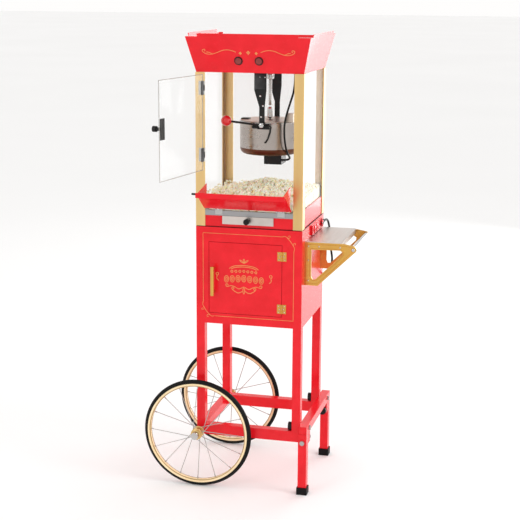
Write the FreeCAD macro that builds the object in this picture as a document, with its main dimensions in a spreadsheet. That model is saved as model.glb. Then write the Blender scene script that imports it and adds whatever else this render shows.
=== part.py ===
import FreeCAD, Part
import math
import os
import re
import Sketcher
from FreeCAD import Placement, Rotation, Vector

# Popcorn cart: a wheeled stand with a cabinet, a fold-up shelf with a push bar, and a glazed
# popping cabin with a tilting kettle under a flared canopy.
# Millimetres, +Z up, +X to the right along the front, +Y to the back. The sizes are laid out
# about the cabinet's centre line on the floor, and every sub-part's Placement adds cart_x and
# cart_y, so that the origin is the bottom centre of the whole cart's box.

os.makedirs("parts", exist_ok=True)
doc = FreeCAD.newDocument("popcorn_cart")

SIZES = {
    "cart_x": 2.45, "cart_y": 102.25,
    "leg_side": 25.4, "tube_wall": 1.5,
    "body_wide": 317.4, "body_deep": 308.4, "body_low": 501.3, "body_top": 792.0, "panel": 2.0,
    "rail_low": 153.6, "rail_high": 32.4, "foot_cap": 6.0, "cap_wall": 3.0, "cap_high": 22.0,
    "axle_radius": 6.0, "axle_x": -148.7, "wheel_radius": 165.7, "wheel_y": 182.7,
    "tyre_thick": 11.0, "rim_thick": 9.0, "rim_wide": 20.0, "hub_radius": 17.0, "spoke_radius": 1.1,
    "bolt_radius": 4.0,
    "door_left": -119.3, "door_right": 98.9, "door_low": 534.0, "door_top": 746.0,
    "door_gap": 1.2, "door_deep": 14.0, "door_pin_x": 99.5, "door_pin_y": -156.6,
    "shelf_top_z": 755.6, "bracket_y": 116.0, "bracket_thick": 4.0, "bar_x": 300.0, "bar_z": 741.0,
    "bar_radius": 9.5,
    "base_top": 848.0, "floor_z": 838.5, "canopy_low": 1236.7, "canopy_top": 1346.0,
    "post_wide": 28.0, "glass": 3.0,
    "canopy_low_x": 313.9, "canopy_low_y": 300.2, "canopy_top_x": 366.5, "canopy_top_y": 364.4,
    "corner_z": 1337.0, "notch": 146.0, "back_top": 1332.0,
    "kettle_x": 24.0, "kettle_radius": 88.0, "kettle_low": 993.0, "kettle_rim": 1090.0,
    "kettle_pin_z": 1085.0, "hanger_y": 95.5, "lid_fold": 15.0,
    "glass_pin_x": -133.0, "glass_pin_y": -159.0, "glass_door_low": 957.0,
    "glass_door_high": 275.0, "glass_door_wide": 266.0, "glass_door_open": 100.0,
    "chute_pin_y": -157.0, "chute_pin_z": 845.0, "chute_long": 108.0, "chute_open": 57.0,
    "drawer_x": -2.6, "drawer_wide": 140.0, "drawer_long": 190.0, "drawer_low": 804.3,
    "switch_x": 29.7, "switch_z": 1270.7, "switch_radius": 9.2,
    "cord_wide": 6.5, "coil_x": 75.0, "coil_y": 168.0, "coil_z": 580.0, "coil_radius": 36.0,
    "lead_wide": 6.0,
}

dims = doc.addObject("Spreadsheet::Sheet", "dims")
for row, (word, value) in enumerate(SIZES.items(), start=1):
    dims.set(f"A{row}", word)
    dims.set(f"B{row}", str(value))
    dims.setAlias(f"B{row}", word)
doc.recompute()


def size(word):
    """One driving dimension, read from the sheet."""
    return float(dims.get(word))


def formula(text):
    """The text with each driving dimension's name pointed at the sheet."""
    return re.sub(r"[a-z_]\w*", lambda m: "dims." + m[0] if m[0] in SIZES else m[0], str(text))


def number(text):
    """The formula's value, for places that take plain numbers."""
    words = {word: size(word) for word in SIZES}
    total = 0.0
    for sign, term in re.findall(r"([+-]?)\s*([\w.]+(?:\s*[*/]\s*[\w.]+)*)", str(text)):
        product = 1.0
        for power, factor in re.findall(r"([*/]?)\s*([\w.]+)", term):
            value = words[factor] if factor in words else float(factor)
            product = product / value if power == "/" else product * value
        total += -product if sign == "-" else product
    return total


def bind(item, path, text):
    item.setExpression(path, formula(text))


def put(item, spot):
    """Bind where an object stands."""
    for letter, text in zip("xyz", spot):
        bind(item, f"Placement.Base.{letter}", text)


def box(low, span):
    """A box from its lowest corner and its three edges."""
    item = doc.addObject("Part::Box", "box")
    for edge, text in zip(("Length", "Width", "Height"), span):
        bind(item, edge, text)
    put(item, low)
    return item


TURNS = {
    "x": Rotation(Vector(0, 1, 0), 90),
    "y": Rotation(Vector(1, 0, 0), -90),
    "z": Rotation(),
}


def rod(base, radius, length, along="z"):
    """A cylinder from the centre of its lower end."""
    item = doc.addObject("Part::Cylinder", "rod")
    bind(item, "Radius", radius)
    bind(item, "Height", length)
    item.Placement = Placement(Vector(), TURNS[along])
    put(item, base)
    return item


def rod_between(start, end, radius):
    """A cylinder between two points."""
    item = doc.addObject("Part::Cylinder", "rod")
    bind(item, "Radius", radius)
    item.Height = (end - start).Length
    item.Placement = Placement(start, Rotation(Vector(0, 0, 1), end - start))
    return item


def ball(centre, radius):
    item = doc.addObject("Part::Sphere", "ball")
    bind(item, "Radius", radius)
    put(item, centre)
    return item


def cut(base, *tools):
    item = doc.addObject("Part::Cut", "cut")
    item.Base = base
    item.Tool = tools[0] if len(tools) == 1 else fuse(*tools)
    return item


def fuse(*pieces):
    if len(pieces) == 1:
        return pieces[0]
    item = doc.addObject("Part::MultiFuse", "fuse")
    item.Shapes = list(pieces)
    return item


def tube_box(low, span, wall, open_along):
    """A square tube: a box less its bore along one axis."""
    hole_low = [f"{text} + {wall}" for text in low]
    hole_span = [f"{text} - 2 * {wall}" for text in span]
    hole_low["xyz".index(open_along)] = low["xyz".index(open_along)]
    hole_span["xyz".index(open_along)] = span["xyz".index(open_along)]
    return cut(box(low, span), box(hole_low, hole_span))


def plane(body, role):
    """One of a body's own origin planes."""
    return next(item for item in body.Origin.OriginFeatures if item.Role == role)


def sketch_on(body, role, outlines):
    """A sketch of closed outlines whose corners are bound to formulas."""
    sketch = body.newObject("Sketcher::SketchObject", "outline")
    sketch.AttachmentSupport = (plane(body, role), [""])
    sketch.MapMode = "FlatFace"
    for corners in outlines:
        first = sketch.GeometryCount
        flat = [Vector(number(x), number(y), 0) for x, y in corners]
        for start, end in zip(flat, flat[1:] + flat[:1]):
            sketch.addGeometry(Part.LineSegment(start, end))
        for step, (x, y) in enumerate(corners):
            line = first + step
            before = first + (step - 1) % len(corners)
            sketch.addConstraint(Sketcher.Constraint("Coincident", before, 2, line, 1))
            for kind, text in (("DistanceX", x), ("DistanceY", y)):
                index = sketch.addConstraint(Sketcher.Constraint(kind, line, 1, number(text)))
                if re.search("[a-z]", str(text)):
                    bind(sketch, f"Constraints[{index}]", text)
    return sketch


def turned(outlines, role="XZ_Plane"):
    """A body turned about its sketch's upright axis: corners are (radius, height)."""
    body = doc.addObject("PartDesign::Body", "turned")
    sketch = sketch_on(body, role, outlines)
    feature = body.newObject("PartDesign::Revolution", "turn")
    feature.Profile = sketch
    feature.ReferenceAxis = (sketch, ["V_Axis"])
    feature.Angle = 360
    return body


def plate(outlines, thick, role="XZ_Plane"):
    """A body padded both ways from its sketch plane."""
    body = doc.addObject("PartDesign::Body", "plate")
    sketch = sketch_on(body, role, outlines)
    feature = body.newObject("PartDesign::Pad", "pad")
    feature.Profile = sketch
    bind(feature, "Length", thick)
    feature.Midplane = True
    return body


def moved(item, spot):
    """A body shifted to its place."""
    put(item, spot)
    return item


NODES = []


def node(label, pieces, spot=("0", "0", "0"), axis=None, angle="0"):
    """A sub-part: its pieces in one group, placed on the cart and turned about a hinge line."""
    item = doc.addObject("Part::Compound", label)
    item.Label = label
    item.Links = list(pieces)
    if axis is not None:
        item.Placement = Placement(Vector(), Rotation(Vector(*axis), number(angle)))
    x, y, z = spot
    put(item, (f"{x} + cart_x", f"{y} + cart_y", z))
    NODES.append(item)
    return item


def routed_tube(label, route, width):
    """A cord through hand-chosen points: straight runs joined by tangent arcs."""
    points = [Vector(*spot) for spot in route]
    edges = []
    here = points[0]
    length = 0.0
    for before, corner, after in zip(points, points[1:], points[2:]):
        back = (before - corner).normalize()
        ahead = (after - corner).normalize()
        turn = math.pi - back.getAngle(ahead)
        reach = 0.45 * min((before - corner).Length, (after - corner).Length)
        radius = reach / math.tan(turn / 2)
        print(f"{label}: turn {math.degrees(turn):.0f} deg, radius {radius:.0f} mm")
        start = corner + back * reach
        end = corner + ahead * reach
        middle = (back + ahead).normalize()
        centre_gap = radius / math.cos(turn / 2)
        crown = corner + middle * (centre_gap - radius)
        edges.append(Part.LineSegment(here, start).toShape())
        edges.append(Part.Arc(start, crown, end).toShape())
        length += (start - here).Length + radius * turn
        here = end
    edges.append(Part.LineSegment(here, points[-1]).toShape())
    length += (points[-1] - here).Length
    path = Part.Wire(edges)
    section = Part.Wire(Part.makeCircle(width / 2, points[0], points[1] - points[0]))
    tube = path.makePipeShell([section], True, False)
    expected = length * math.pi * (width / 2) ** 2
    print(f"{label}: length {length:.0f} mm, volume {tube.Volume:.0f}, expected {expected:.0f}")
    item = doc.addObject("Part::Feature", label + "_tube")
    item.Shape = tube
    return item


HALF_WIDE = "body_wide / 2"


# ---------------------------------------------------------------- stand

def legs():
    """Four square tubes under the cabinet's corners, standing on the lower rails."""
    low = "rail_low + rail_high"
    tubes = []
    for x in ("0 - body_wide / 2", "body_wide / 2 - leg_side"):
        for y in ("0 - body_deep / 2", "body_deep / 2 - leg_side"):
            span = ("leg_side", "leg_side", "body_low - rail_low - rail_high")
            tubes.append(tube_box((x, y, low), span, "tube_wall", "z"))
    node("legs", tubes)


def stand():
    legs()
    bolt_y = "rail_low + 8.4"
    foot_x = "body_wide / 2 + leg_side / 2"
    upper_z = "rail_low + rail_high + leg_side / 2"
    rails = []
    for y in ("0 - body_deep / 2", "body_deep / 2 - leg_side"):
        low = ("0 - body_wide / 2", y, "rail_low")
        tube = tube_box(low, ("body_wide + leg_side", "leg_side", "rail_high"), "tube_wall", "x")
        bore = rod(("axle_x", y, "wheel_radius"), "axle_radius", "leg_side", "y")
        hole = rod((foot_x, y, bolt_y), "bolt_radius", "leg_side", "y")
        rails.append(cut(tube, bore, hole))
    node("rails", rails)
    span = ("leg_side", "body_deep - 2 * leg_side", "leg_side")
    low = ("0 - body_wide / 2", "leg_side - body_deep / 2", "rail_low + rail_high - leg_side")
    bar = tube_box(low, span, "tube_wall", "y")
    axle_clear = rod(("axle_x", "0 - body_deep / 2", "wheel_radius"), "axle_radius + 0.5", "body_deep", "y")
    axle_bar = cut(bar, axle_clear)

    low = ("body_wide / 2", "0 - body_deep / 2 - leg_side", "rail_low + rail_high")
    bar = tube_box(low, ("leg_side", "body_deep + 2 * leg_side", "leg_side"), "tube_wall", "y")
    holes = []
    for y in ("0 - body_deep / 2 + leg_side / 2", "body_deep / 2 - leg_side / 2"):
        holes.append(rod(("body_wide / 2 - 1", y, upper_z), "bolt_radius", "leg_side + 2", "x"))
    node("crossbars", [axle_bar, cut(bar, *holes)])

    feet = []
    caps = []
    for y in ("0 - body_deep / 2 - leg_side", "body_deep / 2"):
        low = ("body_wide / 2", y, "foot_cap")
        tube = tube_box(low, ("leg_side", "leg_side", "rail_low + rail_high - foot_cap"), "tube_wall", "z")
        feet.append(cut(tube, rod((foot_x, y, bolt_y), "bolt_radius", "leg_side", "y")))
        low = ("body_wide / 2 - cap_wall", f"{y} - cap_wall", "0")
        outer = box(low, ("leg_side + 2 * cap_wall", "leg_side + 2 * cap_wall", "cap_high"))
        socket = box(("body_wide / 2", y, "foot_cap"), ("leg_side", "leg_side", "cap_high"))
        caps.append(cut(outer, socket))
    node("foot_legs", feet)
    node("foot_caps", caps)

    # Bolts through the feet and through the lower ends of the right legs, each with a hex head
    # outside and a black hand knob on the inner side.
    shanks = []
    knobs = []
    for side in (-1, 1):
        outer = side * number("body_deep / 2 + leg_side")
        inner = side * number("body_deep / 2 - leg_side")
        x = number(foot_x)
        z = number(bolt_y)
        shanks.append(rod_between(Vector(x, outer + side * 5, z), Vector(x, outer, z), 7))
        shanks.append(rod_between(Vector(x, outer, z), Vector(x, inner, z), "bolt_radius"))
        knobs.append(rod_between(Vector(x, inner, z), Vector(x, inner - side * 12, z), 12.4))
        y = side * number("body_deep / 2 - leg_side / 2")
        z = number(upper_z)
        outer = number("body_wide / 2 + leg_side")
        middle = number("body_wide / 2")
        inner = number("body_wide / 2 - leg_side")
        shanks.append(rod_between(Vector(outer + 5, y, z), Vector(outer, y, z), 7))
        shanks.append(rod_between(Vector(outer, y, z), Vector(middle, y, z), "bolt_radius"))
        knobs.append(rod_between(Vector(inner, y, z), Vector(inner - 12, y, z), 12.4))
    node("frame_bolts", shanks)
    node("hand_knobs", knobs)

    half = "wheel_y + 24"
    shaft = rod(("axle_x", "0 - wheel_y - 24", "wheel_radius"), "axle_radius", "2 * wheel_y + 48", "y")
    near = rod(("axle_x", "0 - wheel_y - 34", "wheel_radius"), "11", "10", "y")
    far = rod(("axle_x", half, "wheel_radius"), "11", "10", "y")
    node("axle", [fuse(shaft, near, far)])


# ---------------------------------------------------------------- wheels

def spokes(label, side):
    """Sixteen laced spokes: each runs off the side of its hub flange, turn and turn about."""
    hub_y = size("wheel_y") * side
    flange = size("hub_radius") - 3
    reach = size("wheel_radius") - size("tyre_thick") - size("rim_thick") + 0.5
    lean = math.radians(50)
    wires = []
    for count in range(16):
        angle = math.radians(22.5 * count)
        turn = lean if count % 4 < 2 else -lean
        shift = 11 if count % 2 else -11
        start = Vector(flange * math.cos(angle + turn), shift, flange * math.sin(angle + turn))
        end = Vector(reach * math.cos(angle), 0, reach * math.sin(angle))
        middle = Vector(size("axle_x"), hub_y, size("wheel_radius"))
        wires.append(rod_between(start + middle, end + middle, "spoke_radius"))
    node(label, wires)


def wheel(name, side):
    """One wire wheel on the axle: rubber tyre, steel rim, spokes and a flanged hub."""
    centre = ("axle_x", f"{side} * wheel_y", "wheel_radius")
    inner = "wheel_radius - tyre_thick"
    tread = [
        (inner, "-9"), ("wheel_radius - 4", "-9"), ("wheel_radius", "-5"),
        ("wheel_radius", "5"), ("wheel_radius - 4", "9"), (inner, "9"),
    ]
    node(f"{name}_tyre", [turned([tread], "XY_Plane")], centre)
    low = "wheel_radius - tyre_thick - rim_thick"
    rim = [(low, "-6"), (inner, "-10"), (inner, "10"), (low, "6")]
    node(f"{name}_rim", [turned([rim], "XY_Plane")], centre)
    spokes(f"{name}_spokes", side)
    # The bore runs 0.06 mm clear of the axle, so the wheel spins freely.
    hub = [
        ("axle_radius + 0.06", "-20"), ("11", "-20"), ("11", "-13"), ("hub_radius", "-13"),
        ("hub_radius", "-9"), ("11", "-9"), ("11", "9"), ("hub_radius", "9"),
        ("hub_radius", "13"), ("11", "13"), ("11", "20"), ("axle_radius + 0.06", "20"),
    ]
    node(f"{name}_hub", [turned([hub], "XY_Plane")], centre)


# ---------------------------------------------------------------- cabinet

def cabinet():
    high = "body_top - body_low"
    back_low = ("0 - body_wide / 2", "body_deep / 2 - panel", "body_low")
    node("cabinet_back", [box(back_low, ("body_wide", "panel", high))])
    side_span = ("panel", "body_deep - panel", high)
    node("cabinet_left", [box(("0 - body_wide / 2", "0 - body_deep / 2", "body_low"), side_span)])
    node("cabinet_right", [box(("body_wide / 2 - panel", "0 - body_deep / 2", "body_low"), side_span)])
    inside = ("body_wide - 2 * panel", "body_deep - 2 * panel", "panel")
    low = ("panel - body_wide / 2", "panel - body_deep / 2")
    floor = box((*low, "body_low"), inside)
    lid = box((*low, "body_top - panel"), inside)
    node("cabinet_floor_and_top", [floor, lid])
    front_low = ("panel - body_wide / 2", "0 - body_deep / 2", "body_low")
    front = box(front_low, ("body_wide - 2 * panel", "panel", high))
    hole_low = ("door_left - door_gap", "-1 - body_deep / 2", "door_low - door_gap")
    hole_span = (
        "door_right - door_left + 2 * door_gap", "panel + 2", "door_top - door_low + 2 * door_gap"
    )
    node("cabinet_front", [cut(front, box(hole_low, hole_span))])


def cabinet_door():
    """A folded steel pan hung on two butterfly hinges, with a bow pull."""
    span = ("door_right - door_left", "door_deep", "door_top - door_low")
    skin = box(("door_left", "0 - body_deep / 2", "door_low"), span)
    low = ("door_left + panel", "panel - body_deep / 2", "door_low + panel")
    inner = ("door_right - door_left - 2 * panel", "door_deep", "door_top - door_low - 2 * panel")
    node("cabinet_door", [cut(skin, box(low, inner))])
    bow_y = "0 - body_deep / 2 - 22"
    posts = [rod(("-104", bow_y, z), "4", "22", "y") for z in ("599", "669")]
    node("door_pull", [fuse(rod(("-104", bow_y, "590.6"), "5.5", "86.4"), *posts)])


def hinge_leaves():
    """The fixed halves of all the hinges, with their pins, and their moving halves."""
    fixed = []
    moving = []
    for z in ("557.8", "714"):
        leaf_y = "0 - body_deep / 2 - 1.2"
        leaf = box(("door_pin_x + 0.6", leaf_y, f"{z} - 13.5"), ("12.8", "1.2", "27"))
        pin = rod(("door_pin_x", "door_pin_y", f"{z} - 13.5"), "1", "27")
        ends = [rod(("door_pin_x", "door_pin_y", f"{z} {shift}"), "2.3", "8.5") for shift in ("- 13.5", "+ 5")]
        gap = box(("door_pin_x - 3", "-160", f"{z} - 4.9"), ("6", "8", "9.8"))
        fixed.append(fuse(cut(fuse(leaf, *ends), gap), pin))
        leaf = box(("door_pin_x - 13.4", leaf_y, f"{z} - 13.5"), ("12.8", "1.2", "27"))
        gaps = []
        for shift in ("- 14", "+ 4.7"):
            gaps.append(box(("door_pin_x - 2.8", "-160", f"{z} {shift}"), ("6", "8", "9.3")))
        knuckle = rod(("door_pin_x", "door_pin_y", f"{z} - 4.5"), "2.3", "9")
        bore = rod(("door_pin_x", "door_pin_y", f"{z} - 14"), "1.06", "28")
        moving.append(cut(fuse(leaf, knuckle), bore, *gaps))
    node("cabinet_door_hinges", moving)
    # The glass door's two black hinges on the front left post.
    for z in ("1002", "1193"):
        block = box(("-147", "glass_pin_y - 2", f"{z} - 19.5"), ("10", "6.8", "39"))
        arms = [box(("-139", "glass_pin_y - 2", f"{z} {shift}"), ("6", "4", "11")) for shift in ("- 19.5", "+ 8.5")]
        ends = [rod(("glass_pin_x", "glass_pin_y", f"{z} {shift}"), "4", "11") for shift in ("- 19.5", "+ 8.5")]
        pin = rod(("glass_pin_x", "glass_pin_y", f"{z} - 19.5"), "2", "39")
        fixed.append(fuse(block, pin, *arms, *ends))
    # The chute flap's two steel hinges on the floor's front lip.
    for x in ("-100", "85"):
        leaf = box((x, "-155.7", "829"), ("22", "1.5", "16"))
        pin = rod((x, "chute_pin_y", "chute_pin_z"), "1.5", "22", "x")
        ends = [rod((f"{x} {shift}", "chute_pin_y", "chute_pin_z"), "3", "6", "x") for shift in ("+ 0", "+ 16")]
        gap = box((f"{x} + 5.7", "-160", "841.5"), ("10.6", "8", "8"))
        fixed.append(fuse(cut(fuse(leaf, *ends), gap), pin))
    node("hinge_leaves", fixed)


# ---------------------------------------------------------------- shelf

def shelf():
    """A steel shelf on two pressed triangular brackets, with a push bar at their tips."""
    outline = [
        (HALF_WIDE, "625.5"), ("198", "625.5"), ("308", "732"), ("309.5", "741"), ("303", "748"),
        ("272", "shelf_top_z - 2"), (HALF_WIDE, "shelf_top_z - 2"),
    ]
    window = [
        ("178", "652"), ("182", "644"), ("190", "644"), ("269", "720"), ("270", "728"),
        ("262", "733.5"), ("178", "732"),
    ]
    brackets = []
    for side in ("-1", "1"):
        bracket = moved(plate([outline, window], "bracket_thick"), ("0", f"{side} * bracket_y", "0"))
        hole = rod(("bar_x", f"{side} * bracket_y - 5", "bar_z - 4"), "3", "10", "y")
        brackets.append(cut(bracket, hole))
    node("shelf_brackets", brackets)
    low = (HALF_WIDE, "0 - bracket_y - 2", "shelf_top_z - 2")
    top = box(low, ("268 - body_wide / 2", "2 * bracket_y + 4", "2"))
    hem = box(("266", "bracket_thick / 2 - bracket_y", "shelf_top_z - 14"), ("2", "2 * bracket_y - bracket_thick", "12"))
    node("shelf_top", [fuse(top, hem)])
    ends = [rod(("bar_x", f"{base}", "bar_z - 4"), "3", "10", "y") for base in ("0 - bracket_y - 5", "bracket_y - 5")]
    low = ("bar_x", "bracket_thick / 2 - bracket_y", "bar_z - 4")
    bar = rod(low, "bar_radius", "2 * bracket_y - bracket_thick", "y")
    node("push_handle", [fuse(bar, *ends)])


# ---------------------------------------------------------------- popping cabin

def cabin():
    outer = ("0 - body_wide / 2 + panel", "0 - body_deep / 2 + panel", "body_top")
    inner = ("0 - body_wide / 2 + 2 * panel", "0 - body_deep / 2 + 2 * panel", "body_top + panel")
    shell = box(outer, ("body_wide - 2 * panel", "body_deep - 2 * panel", "base_top - body_top"))
    hollow = box(inner, ("body_wide - 4 * panel", "body_deep - 4 * panel", "base_top"))
    mouth = box(("-131", "-160", "825.5"), ("262", "12", "60"))
    slot = box(("drawer_x - 71.5", "-160", "drawer_low - 1.5"), ("143", "12", "40"))
    node("popper_base", [cut(shell, hollow, mouth, slot)])

    low = ("0 - body_wide / 2 + 2 * panel", "0 - body_deep / 2 + 2 * panel", "floor_z")
    tray = box(low, ("body_wide - 4 * panel", "body_deep - 4 * panel", "1.5"))
    sill = box(("-130.5", "-154.2", "floor_z"), ("261", "6", "1.5"))
    lip = box(("-130.5", "-154.2", "825.5"), ("261", "1.5", "14.5"))
    sift = []
    for across in range(6):
        for along in range(5):
            sift.append(rod((f"drawer_x - 50 + {20 * across}", f"{20 * along - 110}", "830"), "5", "20"))
    node("popper_floor", [cut(fuse(tray, sill, lip), *sift)])

    runners = []
    for x in ("drawer_x - drawer_wide / 2 - 5", "drawer_x + drawer_wide / 2 - 5"):
        runners.append(box((x, "-148", "body_top + panel"), ("10", "190", "drawer_low - body_top - panel - 0.3")))
    node("drawer_runners", runners)

    posts = []
    for x, y in ((-1, -1), (1, -1), (-1, 1), (1, 1)):
        wide = "post_wide"
        face_x = "0 - body_wide / 2" if x < 0 else "body_wide / 2 - post_wide"
        face_y = "0 - body_deep / 2" if y < 0 else "body_deep / 2 - panel"
        side_x = "0 - body_wide / 2" if x < 0 else "body_wide / 2 - panel"
        side_y = "0 - body_deep / 2" if y < 0 else "body_deep / 2 - post_wide"
        high = "canopy_low - body_top"
        face = box((face_x, face_y, "body_top"), (wide, "panel", high))
        flank = box((side_x, side_y, "body_top"), ("panel", wide, high))
        posts.append(fuse(face, flank))
    node("corner_posts", posts)

    pane_low = "panel - body_deep / 2"
    pane_span = ("glass", "body_deep - 2 * panel - glass", "canopy_low - base_top")
    left = box(("panel - body_wide / 2", pane_low, "base_top"), pane_span)
    right = box(("body_wide / 2 - panel - glass", pane_low, "base_top"), pane_span)
    low = ("panel - body_wide / 2", "body_deep / 2 - panel - glass", "base_top")
    back = box(low, ("body_wide - 2 * panel", "glass", "canopy_low - base_top"))
    node("glass_panes", [left, right, back])

    low = ("-121", "-146", "floor_z + 1.5")
    front = box(low, ("242", "62", "36"))
    back = box(("-151", "-84", "floor_z + 1.5"), ("302", "230", "42"))
    crown = moved(frustum("270", "200", "96", "76", "floor_z + 43.5", "floor_z + 65.5"), ("12", "34", "0"))
    node("popcorn_heap", [fuse(front, back, crown)])


def frustum(low_x, low_y, top_x, top_y, low, top):
    """A block whose four sides lean out from a smaller foot to a larger top."""
    item = doc.addObject("Part::Wedge", "frustum")
    for word, text in (
        ("Xmin", f"0 - {low_x} / 2"), ("Xmax", f"{low_x} / 2"), ("Zmin", f"0 - {low_y} / 2"),
        ("Zmax", f"{low_y} / 2"), ("X2min", f"0 - {top_x} / 2"), ("X2max", f"{top_x} / 2"),
        ("Z2min", f"0 - {top_y} / 2"), ("Z2max", f"{top_y} / 2"), ("Ymin", low), ("Ymax", top),
    ):
        bind(item, word, text)
    item.Placement = Placement(Vector(), Rotation(Vector(1, 0, 0), 90))
    return item


def switch_placement(side):
    """Where a switch sits on the leaning front of the canopy, facing out."""
    rise = size("canopy_top") - size("canopy_low")
    lean = math.atan2((size("canopy_top_y") - size("canopy_low_y")) / 2, rise)
    up = size("switch_z") - size("canopy_low")
    y = 0 - size("canopy_low_y") / 2 - up * math.tan(lean)
    return Placement(Vector(side * size("switch_x"), y, size("switch_z")),
                     Rotation(Vector(1, 0, 0), 90 + math.degrees(lean)))


def facing(item, side, depth, tip=0):
    """Set a turned body's axis square to the canopy's front, its datum depth behind the face."""
    seat = Placement(Vector(0, 0, -depth), Rotation(Vector(1, 0, 0), tip))
    item.Placement = switch_placement(side).multiply(seat)
    return item


def canopy():
    wall = "panel"
    outer = frustum("canopy_low_x", "canopy_low_y", "canopy_top_x", "canopy_top_y", "canopy_low", "canopy_top")
    inner_words = [f"({word} - 2 * {wall})" for word in ("canopy_low_x", "canopy_low_y", "canopy_top_x", "canopy_top_y")]
    hollow = frustum(*inner_words, "canopy_low", "canopy_top")
    corners = []
    for x in ("notch", "0 - notch - 60"):
        for y in ("notch", "0 - notch - 60"):
            corners.append(box((x, y, "corner_z"), ("60", "60", "20")))
    holes = []
    for side in (-1, 1):
        hole = doc.addObject("Part::Cylinder", "hole")
        hole.Radius = 11
        hole.Height = 20
        holes.append(facing(hole, side, 10))
    # The back panel stops lower than the other three, below their raised middles.
    back_edge = box(("-170", "150", "back_top"), ("340", "60", "20"))
    node("canopy_shell", [cut(outer, hollow, back_edge, *corners, *holes)])
    low = ("panel - canopy_low_x / 2", "panel - canopy_low_y / 2")
    deck = box((*low, "canopy_low"), ("canopy_low_x - 2 * panel", "canopy_low_y - 2 * panel", "panel"))
    shaft_hole = rod(("kettle_x", "0", "canopy_low - 1"), "6", "4")
    roof = box(("-175.9", "-173.6", "1324"), ("351.8", "347.2", "panel"))
    node("canopy_panels", [cut(deck, shaft_hole), roof])
    casing = box(("kettle_x - 32", "-30", "canopy_low + 6"), ("64", "60", "48"))
    feet = [box((f"kettle_x {shift}", "-30", "canopy_low + panel"), ("8", "60", "4")) for shift in ("- 32", "+ 24")]
    clear = rod(("kettle_x", "0", "canopy_low + 4"), "6", "30")
    node("motor", [cut(fuse(casing, *feet), clear)])

    bezels = []
    for side, name in ((-1, "switch_left"), (1, "switch_right")):
        ring = turned([[("10", "-8"), ("11", "-8"), ("11", "0"), ("12", "0"), ("12", "2"), ("10", "2")]])
        pin = rod(("-10.5", "0", "0.5"), "1", "21", "x")
        bezels.append(facing(fuse(ring, pin), side, 0))
        button = turned([[("0", "-3"), ("switch_radius", "-3"), ("switch_radius", "3"), ("0", "3.6")]])
        bore = rod(("-12", "0", "0"), "1.05", "24", "x")
        node(name, [facing(cut(button, bore), side, -0.5, -7)])
    node("switch_bezels", bezels)


# ---------------------------------------------------------------- kettle

def hanger(side):
    """A steel strap from the cabin's ceiling to one of the kettle's pivots."""
    outline = [
        ("kettle_x - 24", "canopy_low"), ("kettle_x - 24", "canopy_low - 52"),
        ("kettle_x - 9", "canopy_low - 100"), ("kettle_x - 9", "kettle_pin_z - 9"),
        ("kettle_x + 7", "kettle_pin_z - 9"), ("kettle_x + 7", "canopy_low - 100"),
        ("kettle_x + 12", "canopy_low - 52"), ("kettle_x + 12", "canopy_low"),
    ]
    strap = moved(plate([outline], "3"), ("0", f"{side} * hanger_y", "0"))
    bore = rod(("kettle_x", f"{side} * hanger_y - 3", "kettle_pin_z"), "4.06", "6", "y")
    flange = box(("kettle_x - 24", f"{side} * hanger_y - 10", "canopy_low - 2"), ("36", "20", "2"))
    return cut(fuse(strap, flange), bore)


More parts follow.
